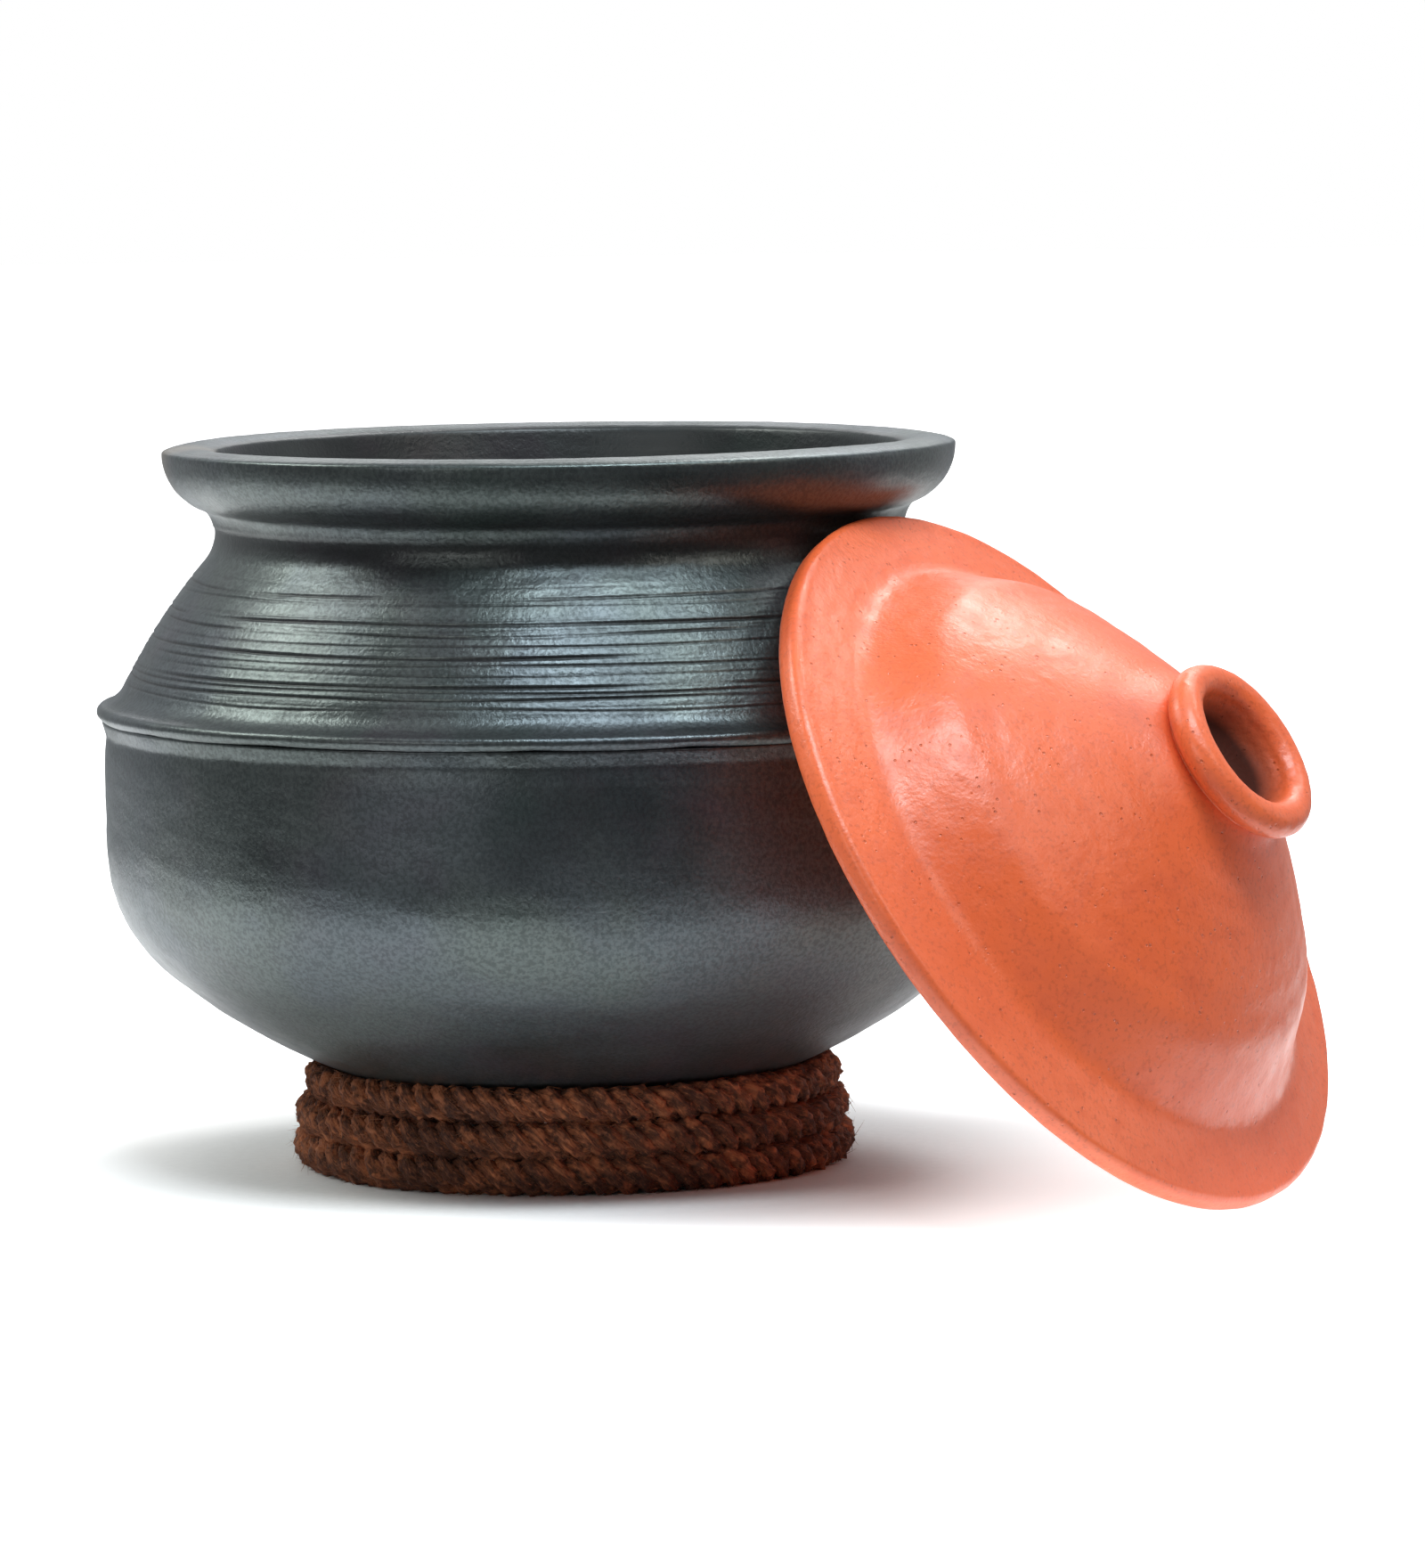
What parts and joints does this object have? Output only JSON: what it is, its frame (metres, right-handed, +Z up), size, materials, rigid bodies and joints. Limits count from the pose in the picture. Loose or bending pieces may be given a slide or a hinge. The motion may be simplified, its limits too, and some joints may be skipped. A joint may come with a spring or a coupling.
{
  "type": "clay cooking pot",
  "caption": "Round-bottomed black clay cooking pot with flared rim and ridge, resting on a coir rope ring, with a domed terracotta lid leaning on its neck.",
  "frame": {"origin": "on the pot's axis, on the surface that the rope ring and the lid's edge stand on", "axes": "+Z up along the pot's axis; +X from the pot's axis towards the leaning lid"},
  "size_m": [0.3455, 0.2514, 0.1954],
  "materials": {
    "black_clay": "satin",
    "terracotta": "matte",
    "coir_rope": "matte",
    "twine": "matte"
  },
  "bodies": {
    "stand": {"rope_coil": "coir_rope", "lower_whipping": "twine", "upper_whipping": "twine"},
    "pot": {"pot_shoulder": "black_clay", "pot_bowl": "black_clay"},
    "lid": {"lid_dome": "terracotta", "lid_knob": "terracotta"}
  },
  "joints": [
    {"name": "pot_lift", "type": "slide", "parent": "stand", "child": "pot", "axis": [0, 0, 1], "range_m": [0, 0.1]},
    {"name": "lid_lift", "type": "slide", "parent": "pot", "child": "lid", "axis": [0.8387, 0, 0.5446], "range_m": [0, 0.15]}
  ]
}
